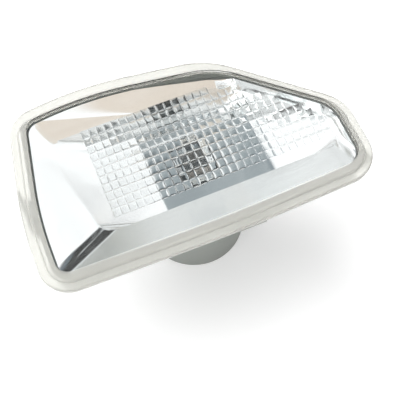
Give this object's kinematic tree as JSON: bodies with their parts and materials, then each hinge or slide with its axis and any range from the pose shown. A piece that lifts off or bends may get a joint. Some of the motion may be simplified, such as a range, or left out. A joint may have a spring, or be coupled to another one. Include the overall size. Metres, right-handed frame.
{
  "type": "side repeater lamp",
  "caption": "Clear-lens side repeater lamp for a car wing: pillow optics, metallised reflector, grey housing with a round boss and a twist-in wedge-bulb holder.",
  "frame": {"origin": "centre of the round boss's open end, on the boss axis", "axes": "+Z out of the lens along the boss axis, +X toward the narrow nose end, +Y toward the lens's longer upper edge"},
  "size_m": [0.0902, 0.0523, 0.055],
  "materials": {
    "clear_lens": "clear moulded acrylic, polished",
    "metallised": "vacuum-metallised plastic, bright",
    "grey_moulding": "moulded mid grey plastic, dull",
    "spring_steel": "rolled spring strip",
    "dark_moulding": "moulded dark grey plastic",
    "seal_rubber": "soft black rubber",
    "terminal_brass": "stamped strip, bright",
    "bulb_glass": "clear glass",
    "bulb_wire": "drawn wire"
  },
  "bodies": {
    "root": {"lens": "clear_lens", "reflector": "metallised", "housing": "grey_moulding", "retaining_clip": "spring_steel", "bulb_holder": "dark_moulding", "holder_seal": "seal_rubber", "terminal_left": "terminal_brass", "terminal_right": "terminal_brass", "bulb_glass": "bulb_glass", "filament": "bulb_wire", "lead_left": "bulb_wire", "lead_right": "bulb_wire", "lead_bridge": "bulb_glass"}
  },
  "joints": []
}
